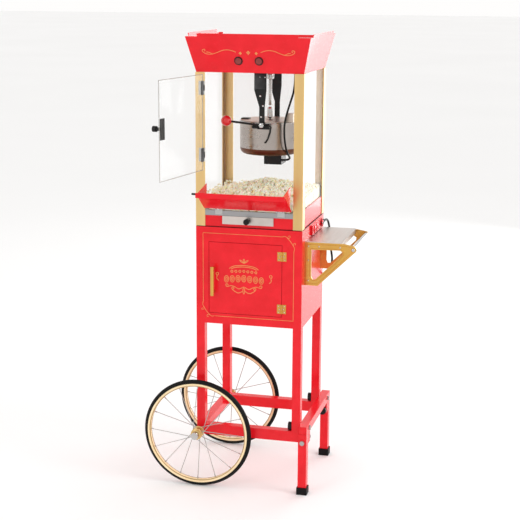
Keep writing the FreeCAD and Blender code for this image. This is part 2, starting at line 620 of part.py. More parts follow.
def kettle():
    node("kettle_hangers", [hanger("-1"), hanger("1")])
    shaft = rod(("kettle_x", "0", "1134"), "5", "canopy_low + 30 - 1134")
    collar = rod(("kettle_x", "0", "canopy_low - 26"), "11", "20")
    node("drive_shaft", [fuse(shaft, collar)])

    centre = ("kettle_x", "0", "0")
    wall = [
        ("0", "kettle_low"), ("kettle_radius - 16", "kettle_low"), ("kettle_radius - 5", "kettle_low + 5"),
        ("kettle_radius", "kettle_low + 16"), ("kettle_radius", "kettle_rim - 2"),
        ("kettle_radius + 1.5", "kettle_rim - 2"), ("kettle_radius + 1.5", "kettle_rim"),
        ("kettle_radius - 1.5", "kettle_rim"), ("kettle_radius - 1.5", "kettle_low + 16.5"),
        ("kettle_radius - 6", "kettle_low + 6.5"), ("kettle_radius - 16.5", "kettle_low + 2"),
        ("0", "kettle_low + 2"),
    ]
    node("kettle_pot", [turned([wall])], centre)
    gearbox = box(("-10.4", "-30", "kettle_low - 30"), ("52.4", "60", "30"))
    node("kettle_gearbox", [gearbox], centre)

    # Trunnions: a pin at each side through its hanger; the front one carries the tilt handle.
    trunnions = []
    for side in (-1, 1):
        pad = number("kettle_radius") - 0.5
        root = Vector(0, side * pad, size("kettle_pin_z"))
        end = Vector(0, side * 100, size("kettle_pin_z"))
        trunnions.append(rod_between(root, end, 4))
        trunnions.append(rod_between(root, Vector(0, side * 92, size("kettle_pin_z")), 9))
    arm = rod_between(Vector(0, -103.5, size("kettle_pin_z")), Vector(-92, -103.5, 1094), 3.2)
    boss = rod_between(Vector(0, -99, size("kettle_pin_z")), Vector(0, -108, size("kettle_pin_z")), 8)
    node("tilt_handle", [fuse(*trunnions[:2], arm, boss), fuse(*trunnions[2:])], centre)
    node("handle_ball", [ball(("-105", "-103.5", "1095.2"), "15.5")], centre)

    # The two leaves of the lid meet on a line to the left of the shaft, on a pair of butt hinges.
    # Each hinge has a barrel on the left leaf, bored for the pin of the barrel on the right one.
    fold = ("0 - lid_fold", "0", "kettle_rim + 2.6")
    leaf_low = "kettle_rim + 0.8"
    shaft_hole = rod(("0", "0", "kettle_rim - 5"), "12", "20")
    for name, start in (("lid_left", "0 - lid_fold - 0.3"), ("lid_right", "0 - lid_fold + 0.3 - 200")):
        disc = rod(("0", "0", leaf_low), "kettle_radius - 2", "1.5")
        other_half = box((start, "-120", "kettle_rim - 5"), ("200", "240", "40"))
        leaf = cut(disc, other_half, shaft_hole)
        barrels = []
        gaps = []
        bores = []
        for y in ("-52", "36"):
            if name == "lid_left":
                barrels.append(rod((fold[0], y, fold[2]), "1.8", "8", "y"))
                barrels.append(box((f"{fold[0]} - 3", y, leaf_low), ("3", "8", "1.5")))
                bores.append(rod((fold[0], f"{y} - 1", fold[2]), "0.95", "10", "y"))
                gaps.append(box((f"{fold[0]} - 2.3", f"{y} + 8", "kettle_rim"), ("3.3", "8.4", "5")))
            else:
                barrels.append(rod((fold[0], f"{y} + 8.4", fold[2]), "1.8", "7.6", "y"))
                barrels.append(box((fold[0], f"{y} + 8.4", leaf_low), ("3", "7.6", "1.5")))
                barrels.append(rod((fold[0], f"{y} + 0.4", fold[2]), "0.9", "9", "y"))
                gaps.append(box((f"{fold[0]} - 1", f"{y} - 0.4", "kettle_rim"), ("3.3", "8.8", "5")))
        leaf = fuse(cut(leaf, *gaps), *barrels)
        if name == "lid_left":
            leaf = cut(leaf, *bores)
        else:
            # A black terminal block stands on the right leaf.
            leaf = fuse(leaf, box(("62", "-66", "kettle_rim + 2"), ("22", "26", "25")))
        node(name, [leaf], centre)
    bell = [("0", "kettle_low + 4"), ("3.5", "kettle_low + 4"), ("3.5", "kettle_rim + 6"),
            ("9.5", "kettle_rim + 10"), ("8", "1124"), ("6", "1129"), ("0", "1129")]
    blade = box(("-66", "-2.5", "kettle_low + 4"), ("132", "5", "2"))
    node("stirrer", [fuse(turned([bell]), blade)], centre)

    lead = [
        (108, -44, 1236), (110, -52, 1190), (98, -70, 1142), (86, -80, 1096), (86, -82, 1050),
        (92, -78, 1008), (96, -24, 976), (66.2, -24, 976),
    ]
    node("kettle_cable", [routed_tube("kettle_cable", lead, size("lead_wide"))])


# ---------------------------------------------------------------- doors, flap and drawer

def glass_door():
    """An acrylic door on the front left post, drawn closed about its hinge line."""
    pivot = ("glass_pin_x", "glass_pin_y", "0")
    pane = box(("5", "0 - glass / 2", "glass_door_low"), ("glass_door_wide - 5", "glass", "glass_door_high"))
    node("glass_door", [pane], pivot, (0, 0, 1), "0 - glass_door_open")
    fittings = []
    for z in ("1002", "1193"):
        knuckle = rod(("0", "0", f"{z} - 8"), "4", "16")
        leaf = box(("0", "glass / 2", f"{z} - 19.5"), ("19", "1.5", "39"))
        clear = [box(("-6", "-6", f"{z} {shift}"), ("10.4", "12", "12")) for shift in ("- 20", "+ 8")]
        bore = rod(("0", "0", f"{z} - 9"), "2.06", "18")
        pane_clear = box(("5", "0 - glass / 2", f"{z} - 30"), ("30", "glass", "60"))
        fittings.append(cut(fuse(knuckle, leaf), bore, pane_clear, *clear))
    stem = rod(("glass_door_wide - 14", "0 - glass / 2 - 14", "1100"), "5", "14", "y")
    knob = rod(("glass_door_wide - 14", "0 - glass / 2 - 24", "1100"), "8.2", "11", "y")
    catch = box(("glass_door_wide - 26", "glass / 2", "1071"), ("24", "2", "58"))
    fittings.extend([fuse(stem, knob), catch])
    node("glass_door_fittings", fittings, pivot, (0, 0, 1), "0 - glass_door_open")


def chute_flap():
    """The serving chute: a hinged tray front with triangular cheeks, drawn upright."""
    pivot = ("0", "chute_pin_y", "chute_pin_z")
    panel = box(("-131.5", "-0.75", "4"), ("259.5", "1.5", "chute_long - 4"))
    cheeks = []
    for x in (-125.5, 122.5):
        outline = [("0.5", "6"), ("0.5", "chute_long"), ("61.6", "40")]
        cheeks.append(moved(plate([outline], "1.5", "YZ_Plane"), (str(x), "0", "0")))
    lean = math.radians(size("chute_open"))
    lip = doc.addObject("Part::Box", "lip")
    lip.Length = 259.5
    lip.Width = 1.5
    lip.Height = 13
    lip.Placement = Placement(Vector(-131.5, -0.75, size("chute_long")), Rotation(Vector(1, 0, 0), 180 - math.degrees(lean)))
    knuckles = []
    for x in ("-100", "85"):
        tube = rod((f"{x} + 6.3", "0", "0"), "3", "9.4", "x")
        web = box((f"{x} + 6.3", "-0.75", "0"), ("9.4", "1.5", "6"))
        knuckles.append(cut(fuse(tube, web), rod((f"{x} + 5", "0", "0"), "1.56", "12", "x")))
    node("chute_flap", [fuse(panel, *cheeks, lip, *knuckles)], pivot, (1, 0, 0), "chute_open")


def drawer():
    """The tray under the floor that catches unpopped kernels."""
    low = ("drawer_x - drawer_wide / 2", "-153.8", "drawer_low")
    tray = box(low, ("drawer_wide", "drawer_long", "18"))
    inner = ("drawer_x - drawer_wide / 2 + 1.5", "-152.3", "drawer_low + 1.5")
    hollow = box(inner, ("drawer_wide - 3", "drawer_long - 3", "30"))
    face = box(("drawer_x - 76.1", "-156.3", "801.5"), ("152.2", "2.5", "23.7"))
    node("drawer", [fuse(cut(tray, hollow), face)])
    stem = rod(("drawer_x", "-164.3", "813.4"), "5", "8", "y")
    head = rod(("drawer_x", "-175.3", "813.4"), "8.5", "11", "y")
    node("drawer_knob", [fuse(stem, head)])


# ---------------------------------------------------------------- power cord

CORD_ROUTE = [
    (168, 92, 772), (174, 128, 786), (178, 160, 748), (181, 158, 690), (192, 150, 640),
    (172, 164, 604), (128, 171, 566), (82, 169, 546),
]


def cord():
    outlet = box(("body_wide / 2", "-36", "shelf_top_z + 2.4"), ("6", "140", "28"))
    spout = rod(("body_wide / 2", "92", "772"), "8", "9.3", "x")
    node("cord_outlet", [fuse(outlet, spout)])
    shelf_side = routed_tube("power_cord", CORD_ROUTE, size("cord_wide"))
    tail = rod(("coil_x + coil_radius", "coil_y - 6", "coil_z - 52"), "cord_wide / 2", "36")
    node("power_cord", [shelf_side, tail])
    ring = rod(("coil_x", "coil_y - 10", "coil_z"), "coil_radius + 8", "20", "y")
    eye = rod(("coil_x", "coil_y - 11", "coil_z"), "coil_radius - 8", "22", "y")
    node("cord_coil", [cut(ring, eye)])
    grip = box(("coil_x + coil_radius - 11", "coil_y - 12", "coil_z - 90"), ("22", "18", "38"))
    blades = [box((f"coil_x + coil_radius {shift}", "coil_y - 10", "coil_z - 107"), ("1.5", "6.5", "17")) for shift in ("- 7", "+ 5.5")]
    earth = rod(("coil_x + coil_radius", "coil_y", "coil_z - 109"), "2.2", "19")
    node("power_plug", [fuse(grip, *blades, earth)])
    hook_z = "coil_z + coil_radius - 8 - 3"
    peg = rod(("coil_x", "body_deep / 2", hook_z), "3", "30", "y")
    tip = rod(("coil_x", "body_deep / 2 + 27", hook_z), "3", "24")
    node("cord_hook", [fuse(peg, tip)])


stand()
wheel("wheel_front", -1)
wheel("wheel_back", 1)
cabinet()
cabinet_door()
hinge_leaves()
shelf()
cabin()
canopy()
kettle()
glass_door()
chute_flap()
drawer()
cord()
doc.recompute()

for item in doc.Objects:
    if "Invalid" in item.State or "Error" in item.State:
        raise RuntimeError(f"{item.Label} failed: {item.State}")
for item in NODES:
    if item.Shape.isNull() or not item.Shape.isValid():
        raise RuntimeError(f"{item.Label} has no valid shape")
    item.Shape.exportStep(f"parts/{item.Label}.step")
CORD_NODES = ("power_cord", "cord_coil", "power_plug")
whole = Part.makeCompound([item.Shape for item in NODES if item.Label not in CORD_NODES])
print(len(NODES), "sub-parts; box without the cord", whole.optimalBoundingBox())
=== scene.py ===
import bmesh
import bpy
import math
import random
from mathutils import Matrix, Vector


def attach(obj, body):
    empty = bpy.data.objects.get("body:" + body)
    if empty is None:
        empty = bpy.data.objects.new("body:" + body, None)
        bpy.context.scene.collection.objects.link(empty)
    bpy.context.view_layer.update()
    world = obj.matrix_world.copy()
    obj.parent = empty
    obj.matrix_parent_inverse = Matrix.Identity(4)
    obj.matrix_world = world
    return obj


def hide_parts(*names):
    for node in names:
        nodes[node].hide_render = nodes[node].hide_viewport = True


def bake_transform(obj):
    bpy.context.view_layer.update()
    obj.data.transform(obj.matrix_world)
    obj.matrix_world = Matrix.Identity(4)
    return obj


# Popcorn cart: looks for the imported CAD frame. Metres, +Z up, the front faces -Y.

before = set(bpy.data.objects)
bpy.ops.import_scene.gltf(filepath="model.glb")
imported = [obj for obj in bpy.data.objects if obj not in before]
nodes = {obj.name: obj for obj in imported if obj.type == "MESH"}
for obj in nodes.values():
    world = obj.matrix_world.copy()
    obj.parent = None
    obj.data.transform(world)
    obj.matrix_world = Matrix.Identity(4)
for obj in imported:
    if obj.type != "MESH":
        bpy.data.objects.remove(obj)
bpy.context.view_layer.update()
random.seed(7)

# The cart's own centre line, as part.py has it: its sizes are laid out about the cabinet.
CART = Vector((0.00245, 0.10225, 0.0))
MM = 0.001


def at(x, y, z):
    """A point given in millimetres about the cabinet's centre line."""
    return Vector((x * MM, y * MM, z * MM)) + CART


# ---------------------------------------------------------------- camera

def look_from(spot, yaw, pitch, roll, lens, shift):
    """A camera that looks along +Y, turned left by yaw, down by pitch and rolled."""
    data = bpy.data.cameras.new("camera")
    data.lens = lens
    data.sensor_width = 36
    data.shift_x, data.shift_y = shift
    data.clip_end = 200
    camera = bpy.data.objects.new("camera", data)
    bpy.context.collection.objects.link(camera)
    turn = Matrix.Rotation(math.radians(yaw), 4, "Z")
    tilt = Matrix.Rotation(math.radians(90 - pitch), 4, "X")
    twist = Matrix.Rotation(math.radians(roll), 4, "Z")
    camera.matrix_world = Matrix.Translation(spot) @ turn @ tilt @ twist
    bpy.context.scene.camera = camera


look_from(at(896.6, -3613.8, 1481.6), 14.01, 12.32, 0.32, 87.23, (0.0005, -0.0015))


# ---------------------------------------------------------------- materials

def texture_nodes(tree, scale, stretch, detail=4.0):
    """Noise over the piece's own coordinates, stretched along an axis for a grain."""
    where = tree.nodes.new("ShaderNodeTexCoord")
    mapping = tree.nodes.new("ShaderNodeMapping")
    mapping.inputs["Scale"].default_value = stretch
    noise = tree.nodes.new("ShaderNodeTexNoise")
    noise.inputs["Scale"].default_value = scale
    noise.inputs["Detail"].default_value = detail
    tree.links.new(where.outputs["Object"], mapping.inputs["Vector"])
    tree.links.new(mapping.outputs["Vector"], noise.inputs["Vector"])
    return noise.outputs["Fac"]


def ramp(tree, value, low, high):
    """The value carried from the noise's middle range to low..high."""
    node = tree.nodes.new("ShaderNodeMapRange")
    node.inputs["From Min"].default_value = 0.3
    node.inputs["From Max"].default_value = 0.7
    node.inputs["To Min"].default_value = low
    node.inputs["To Max"].default_value = high
    tree.links.new(value, node.inputs["Value"])
    return node.outputs["Result"]


def mixed(tree, factor, first, second):
    """A colour between two, by a factor; each colour is a value or a socket."""
    node = tree.nodes.new("ShaderNodeMix")
    node.data_type = "RGBA"
    tree.links.new(factor, node.inputs["Factor"])
    for socket, colour in ((node.inputs["A"], first), (node.inputs["B"], second)):
        if isinstance(colour, tuple):
            socket.default_value = (*colour, 1)
        else:
            tree.links.new(colour, socket)
    return node.outputs["Result"]


def bump(tree, shader, height, strength, distance):
    """Roughen a shader's surface by a height socket."""
    node = tree.nodes.new("ShaderNodeBump")
    node.inputs["Strength"].default_value = strength
    node.inputs["Distance"].default_value = distance
    tree.links.new(height, node.inputs["Height"])
    tree.links.new(node.outputs["Normal"], shader.inputs["Normal"])


# The broad mottling of a finish, against the scale of its fine grain.
BROAD = 0.12


def material(name, colour, dark=None, rough=(0.3, 0.4), metal=0.0, coat=0.0, scale=40.0,
             stretch=(1, 1, 1), bumps=(0.05, 0.0005), alpha=1.0, spec=0.5):
    """A procedural finish: mottled colour and roughness over a fine bump."""
    made = bpy.data.materials.new(name)
    made.use_nodes = True
    tree = made.node_tree
    shader = tree.nodes["Principled BSDF"]
    grain = texture_nodes(tree, scale, stretch)
    broad = texture_nodes(tree, scale * BROAD, stretch, 2.0)
    dark = dark or tuple(part * 0.86 for part in colour)
    tone = mixed(tree, ramp(tree, broad, 0.0, 1.0), dark, colour)
    tree.links.new(tone, shader.inputs["Base Color"])
    tree.links.new(ramp(tree, grain, *rough), shader.inputs["Roughness"])
    bump(tree, shader, grain, *bumps)
    shader.inputs["Metallic"].default_value = metal
    shader.inputs["Coat Weight"].default_value = coat
    shader.inputs["Coat Roughness"].default_value = 0.04
    shader.inputs["Specular IOR Level"].default_value = spec
    shader.inputs["Alpha"].default_value = alpha
    return made


RED = material("red_paint", (0.80, 0.010, 0.020), (0.72, 0.007, 0.014), (0.18, 0.28), coat=0.12,
               scale=260, bumps=(0.03, 0.0002), spec=0.22)
BRASS = material("brass_posts", (0.78, 0.55, 0.25), (0.56, 0.36, 0.13), (0.26, 0.42), metal=1.0,
                 scale=120, stretch=(1, 1, 0.02), bumps=(0.08, 0.0003))
GOLD = material("gold_enamel", (0.68, 0.38, 0.08), (0.58, 0.30, 0.055), (0.18, 0.26), metal=0.85,
                coat=0.2, scale=60, bumps=(0.05, 0.0002))
GOLD_LINE = material("gold_line", (0.86, 0.40, 0.14), (0.76, 0.32, 0.10), (0.35, 0.5), metal=0.2,
                     scale=300, bumps=(0.1, 0.0002), spec=0.3)
STEEL = material("brushed_steel", (0.52, 0.50, 0.48), (0.36, 0.35, 0.34), (0.22, 0.42), metal=1.0,
                 scale=150, stretch=(0.04, 1, 1), bumps=(0.08, 0.0002))
SHELF_STEEL = material("shelf_steel", (0.66, 0.60, 0.56), (0.54, 0.49, 0.45), (0.3, 0.45), metal=1.0,
                       scale=150, stretch=(1, 0.04, 1), bumps=(0.08, 0.0002))
CHROME = material("chrome", (0.58, 0.57, 0.56), (0.44, 0.43, 0.42), (0.06, 0.14), metal=1.0,
                  scale=90, bumps=(0.02, 0.0002))
ALUMINIUM = material("spun_aluminium", (0.50, 0.45, 0.42), (0.38, 0.34, 0.31), (0.24, 0.34), metal=1.0,
                     scale=60, stretch=(0.3, 0.3, 1.0), bumps=(0.02, 0.0001))
LID_STEEL = material("lid_steel", (0.62, 0.52, 0.44), (0.46, 0.38, 0.31), (0.3, 0.45), metal=1.0,
                     scale=60, bumps=(0.05, 0.0002))
BLACK_METAL = material("black_metal", (0.006, 0.006, 0.006), (0.003, 0.003, 0.003), (0.25, 0.42),
                       scale=160, bumps=(0.12, 0.0004), spec=0.3)
BLACK_PLASTIC = material("black_plastic", (0.007, 0.0065, 0.0065), (0.004, 0.004, 0.004), (0.3, 0.45),
                         scale=220, bumps=(0.1, 0.0003), spec=0.2)
RUBBER = material("rubber", (0.006, 0.006, 0.006), (0.003, 0.003, 0.003), (0.45, 0.65),
                  scale=260, bumps=(0.15, 0.0004), spec=0.15)
CREAM = material("cream_rim", (0.98, 0.80, 0.52), (0.93, 0.72, 0.42), (0.22, 0.32), coat=0.2,
                 scale=160, bumps=(0.04, 0.0002), spec=0.3)
TAN = material("rim_edge", (0.50, 0.33, 0.13), (0.40, 0.25, 0.09), (0.3, 0.4), metal=0.4,
               scale=160, bumps=(0.04, 0.0002))
RED_GLOSS = material("red_ball", (0.66, 0.006, 0.010), (0.50, 0.003, 0.005), (0.05, 0.09), coat=0.5,
                     scale=80, bumps=(0.02, 0.0002), spec=0.5)
LENS = material("switch_lens", (0.30, 0.02, 0.014), (0.16, 0.008, 0.006), (0.12, 0.22), coat=0.4,
                scale=200, bumps=(0.05, 0.0002))
PANE = material("clear_panel", (0.90, 0.93, 0.92), (0.86, 0.90, 0.90), (0.02, 0.05),
                scale=30, bumps=(0.01, 0.0002), alpha=0.08, spec=0.6)
PANE_EDGE = material("clear_edge", (0.46, 0.42, 0.38), (0.34, 0.31, 0.28), (0.1, 0.2),
                     scale=60, bumps=(0.02, 0.0002), alpha=0.7)
# A dark copper-brown for the pot's curved foot: a painted dark reflection.
FOOT_REFLECTION_PAINT = material("painted_foot_reflection", (0.20, 0.085, 0.05), (0.10, 0.04, 0.025), (0.3, 0.42), metal=1.0,
                  scale=60, bumps=(0.08, 0.0003))
DULL_STEEL = material("dull_steel", (0.10, 0.10, 0.105), (0.03, 0.03, 0.03), (0.3, 0.5), metal=0.9,
                      scale=110, bumps=(0.15, 0.0003))
INSIDE = material("floor_steel", (0.40, 0.40, 0.40), (0.26, 0.26, 0.27), (0.3, 0.5), metal=1.0,
                  scale=140, stretch=(0.05, 1, 1), bumps=(0.1, 0.0002))
# Near-black for the joint under the cabin: painted shadow of the gap there.
GAP_SHADOW = material("shadow_gap", (0.05, 0.004, 0.004), (0.03, 0.002, 0.002), (0.5, 0.7),
                  scale=200, bumps=(0.1, 0.0002), spec=0.1)


def popcorn_material():
    """Popped corn: creamy foam with butter-yellow patches and small brown hulls."""
    made = bpy.data.materials.new("popcorn")
    made.use_nodes = True
    tree = made.node_tree
    shader = tree.nodes["Principled BSDF"]
    patches = texture_nodes(tree, 70, (1, 1, 1), 3.0)
    specks = texture_nodes(tree, 130, (1, 1, 1), 2.0)
    pores = texture_nodes(tree, 900, (1, 1, 1), 3.0)
    cream = mixed(tree, ramp(tree, patches, -0.6, 0.9), (1.0, 0.95, 0.80), (0.98, 0.80, 0.42))
    hull = tree.nodes.new("ShaderNodeMapRange")
    hull.inputs["From Min"].default_value = 0.62
    hull.inputs["From Max"].default_value = 0.67
    tree.links.new(specks, hull.inputs["Value"])
    tone = mixed(tree, hull.outputs["Result"], cream, (0.50, 0.24, 0.06))
    tree.links.new(tone, shader.inputs["Base Color"])
    tree.links.new(ramp(tree, pores, 0.6, 0.85), shader.inputs["Roughness"])
    shader.inputs["Subsurface Weight"].default_value = 0.25
    shader.inputs["Subsurface Scale"].default_value = 0.004
    bump(tree, shader, pores, 0.35, 0.0008)
    return made


POPCORN = popcorn_material()


# ---------------------------------------------------------------- piece helpers

def paint(node, finish, bevel):
    """Give a CAD node its finish, and soften its edges with a bevel modifier."""
    item = nodes[node]
    item.data.materials.clear()
    item.data.materials.append(finish)
    if bevel:
        soften(item, bevel)


def soften(item, bevel):
    edge = item.modifiers.new("soft_edges", "BEVEL")
    edge.width = bevel
    edge.segments = 2
    edge.limit_method = "ANGLE"
    edge.angle_limit = math.radians(35)
    edge.harden_normals = True


def add(name, mesh, body, finish, replaced=(), smooth=True):
    """Link a piece, and say what it rides on, takes its finish from and stands for."""
    item = bpy.data.objects.new(name, mesh)
    bpy.context.collection.objects.link(item)
    if not item.data.materials:
        item.data.materials.append(finish)
    if smooth and hasattr(mesh, "polygons"):
        mesh.shade_smooth()
        mesh.set_sharp_from_angle(angle=math.radians(40))
    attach(item, body)
    if replaced:
        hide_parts(*replaced)
    return item


def made_mesh(name, form):
    """A mesh from a bmesh, with its normals turned outward."""
    bmesh.ops.remove_doubles(form, verts=form.verts, dist=1e-6)
    bmesh.ops.recalc_face_normals(form, faces=form.faces)
    mesh = bpy.data.meshes.new(name)
    form.to_mesh(mesh)
    form.free()
    return mesh


def lathe_into(form, profile, centre, axis, steps=48):
    """Turn a profile of (radius, height) points in mm about an axis; both ends may be closed."""
    turn = Vector((0, 0, 1)).rotation_difference(Vector(axis))
    rings = []
    for radius, height in profile:
        if radius < 1e-6:
            rings.append([form.verts.new(centre + turn @ Vector((0, 0, height * MM)))])
            continue
        ring = []
        for step in range(steps):
            angle = math.tau * step / steps
            spot = Vector((radius * math.cos(angle), radius * math.sin(angle), height)) * MM
            ring.append(form.verts.new(centre + turn @ spot))
        rings.append(ring)
    for low, high in zip(rings, rings[1:]):
        for step in range(steps):
            after = (step + 1) % steps
            around = ((low, step), (low, after), (high, after), (high, step))
            corners = [ring[place % len(ring)] for ring, place in around]
            unique = list(dict.fromkeys(corners))
            if len(unique) > 2:
                form.faces.new(unique)


def lathe(name, profile, centre, axis, closed=False, steps=48):
    """A mesh turned from a profile, which is joined end to start when closed."""
    if closed:
        profile = profile + profile[:1]
    form = bmesh.new()
    lathe_into(form, profile, centre, axis, steps)
    return made_mesh(name, form)


def arc_profile(radius_at, height_at, radius, start, stop, steps=8):
    """Points of an arc in a lathe profile, angles in degrees from outward."""
    points = []
    for step in range(steps + 1):
        angle = math.radians(start + (stop - start) * step / steps)
        points.append((radius_at + radius * math.cos(angle), height_at + radius * math.sin(angle)))
    return points


def block_into(form, low, high, bevel):
    """A box between two corners in metres, with its edges rounded by a bevel in mm."""
    made = bmesh.ops.create_cube(form, size=1.0)["verts"]
    middle = (low + high) / 2
    span = high - low
    for vertex in made:
        vertex.co = Vector([vertex.co[i] * span[i] for i in range(3)]) + middle
    edges = list({edge for vertex in made for edge in vertex.link_edges})
    bmesh.ops.bevel(form, geom=edges, offset=bevel * MM, segments=2, affect="EDGES", profile=0.5)


def curve(name, lines, radius, roundness, fineness):
    """A round line along each row of points, as one curve of many splines."""
    data = bpy.data.curves.new(name, "CURVE")
    data.dimensions = "3D"
    data.bevel_depth = radius
    data.bevel_resolution = roundness
    data.resolution_u = fineness
    data.use_fill_caps = True
    for points in lines:
        spline = data.splines.new("NURBS")
        spline.points.add(len(points) - 1)
        for point, spot in zip(spline.points, points):
            point.co = (*spot, 1)
        spline.order_u = 3
        spline.use_endpoint_u = True
    return data


def wires(name, lines, radius, body, finish):
    """A piece made of fine lines."""
    add(name, curve(name, lines, radius, 2, 4), body, finish)


def plain_copy(name, node, keep):
    """A mesh of the loose parts of a CAD node whose middle passes a test."""
    form = bmesh.new()
    form.from_mesh(nodes[node].data)
    bmesh.ops.remove_doubles(form, verts=form.verts, dist=1e-6)
    left = set(form.verts)
    doomed = []
    while left:
        group = [left.pop()]
        for vertex in group:
            for edge in vertex.link_edges:
                other = edge.other_vert(vertex)
                if other in left:
                    left.remove(other)
                    group.append(other)
        middle = sum((vertex.co for vertex in group), Vector()) / len(group)
        if not keep(middle):
            doomed.extend(group)
    bmesh.ops.delete(form, geom=doomed, context="VERTS")
    return made_mesh(name, form)


# ---------------------------------------------------------------- power cord

CORD = [(168, 92, 772), (174, 128, 786), (178, 160, 748), (181, 158, 690), (192, 150, 640),
        (172, 164, 604), (128, 171, 566)]
CORD_RADIUS = 3.25

# The coil: full turns, points in each, the lanes' radius and spacing in mm, and the share of a
# turn in which the cord crosses to its next lane.
COIL = at(75, 168, 580)
COIL_TURNS = 6
COIL_STEPS = 14
COIL_RADIUS = 36
FIRST_LANE = 6.8
LANE_GAP = 6.7
HALF_LAYER = 3.4
CROSSING = 0.15


def coil_points():
    """Six full turns and part of another, two deep and three abreast, from the coil's bottom."""
    points = []
    total = COIL_TURNS * COIL_STEPS + COIL_STEPS // 4 * 3
    for step in range(total + 1):
        angle = math.radians(-90) - math.tau * step / COIL_STEPS
        turn = step / COIL_STEPS
        ease = min(turn % 1 / CROSSING, 1) if turn < COIL_TURNS else 1
        here = min(int(turn), COIL_TURNS - 1)
        lanes = (max(here - 1, 0), here)
        depth = [FIRST_LANE - LANE_GAP * (lane // 2) for lane in lanes]
        swell = [HALF_LAYER if lane % 2 else -HALF_LAYER for lane in lanes]
        y = depth[0] + (depth[1] - depth[0]) * ease
        radius = (COIL_RADIUS + swell[0] + (swell[1] - swell[0]) * ease) * MM
        points.append(COIL + Vector((radius * math.cos(angle), y * MM, radius * math.sin(angle))))
    return points


def power_cord():
    """The cord down to its tied coil and tail, the relief where it leaves the box, and the ties."""
    route = [at(*spot) for spot in CORD] + coil_points()
    route += [COIL + Vector((0.036, -0.006, drop)) for drop in (-0.02, -0.036, -0.053)]
    line = curve("power_cord_line", [route], CORD_RADIUS * MM, 4, 8)
    cord = add("power_cord_line", line, "cart", BLACK_PLASTIC, ("power_cord", "cord_coil"))
    sleeve = [(3.3, 26), (4.2, 18), (4.6, 17), (4.6, 15), (4.4, 14), (5.2, 9), (5.6, 8), (5.6, 5),
              (5.4, 4), (6.4, 0)]
    form = bmesh.new()
    lathe_into(form, sleeve, at(164.5, 82, 771), Vector((0.14, 0.82, 0.3)).normalized(), 24)
    add("cord_relief", made_mesh("cord_relief", form), "cart", BLACK_PLASTIC)
    tie = bmesh.new()
    for degrees in (40, 220):
        angle = math.radians(degrees)
        spot = COIL + Vector((0.036 * math.cos(angle), 0, 0.036 * math.sin(angle)))
        axis = Vector((-math.sin(angle), 0, math.cos(angle)))
        lathe_into(tie, [(11.2, -3), (12, -2.4), (12, 2.4), (11.2, 3)], spot, axis, 20)
    ties = add("coil_ties", made_mesh("coil_ties", tie), "cart", BLACK_PLASTIC)
    return cord, ties


cord_piece, coil_ties = power_cord()


# ---------------------------------------------------------------- kettle lead

LEAD = [(108, -44, 1236), (110, -52, 1190), (98, -70, 1142), (86, -80, 1096), (86, -82, 1050),
        (92, -78, 1008), (96, -24, 976), (66.2, -24, 976)]
LEAD_RADIUS = 0.003


def spline_points(control, steps=14):
    """A smooth line through the same quadratic B-spline that the cord's curve follows."""
    spots = [Vector(spot) for spot in control]
    middles = [spots[0]] + [(a + b) / 2 for a, b in zip(spots[1:-2], spots[2:-1])] + [spots[-1]]
    line = []
    for index, corner in enumerate(spots[1:-1]):
        start, end = middles[index], middles[index + 1]
        for step in range(steps):
            t = step / steps
            line.append((1 - t) ** 2 * start + 2 * t * (1 - t) * corner + t ** 2 * end)
    return line + [spots[-1]]


def tube_mesh(name, line, radius, sides=16):
    """A round tube along a line, its rings carried without twisting."""
    form = bmesh.new()
    heading = (line[1] - line[0]).normalized()
    side = heading.orthogonal().normalized()
    rings = []
    for index, spot in enumerate(line):
        ahead = (line[min(index + 1, len(line) - 1)] - line[max(index - 1, 0)]).normalized()
        side = heading.rotation_difference(ahead) @ side
        heading = ahead
        across = heading.cross(side)
        rings.append([form.verts.new(spot + radius * (side * math.cos(math.tau * k / sides)
                                                      + across * math.sin(math.tau * k / sides)))
                      for k in range(sides)])
    for low, high in zip(rings, rings[1:]):
        for k in range(sides):
            form.faces.new((low[k], low[(k + 1) % sides], high[(k + 1) % sides], high[k]))
    form.faces.new(rings[0])
    form.faces.new(rings[-1])
    return made_mesh(name, form)


def kettle_lead():
    line = [at(*spot) for spot in spline_points(LEAD)]
    mesh = tube_mesh("kettle_lead", line, LEAD_RADIUS)
    lead = bpy.data.objects.new("kettle_lead", mesh)
    bpy.context.collection.objects.link(lead)
    mesh.materials.append(BLACK_PLASTIC)
    mesh.shade_smooth()
    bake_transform(lead)
    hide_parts("kettle_cable")


kettle_lead()


# ---------------------------------------------------------------- finishes of the CAD nodes

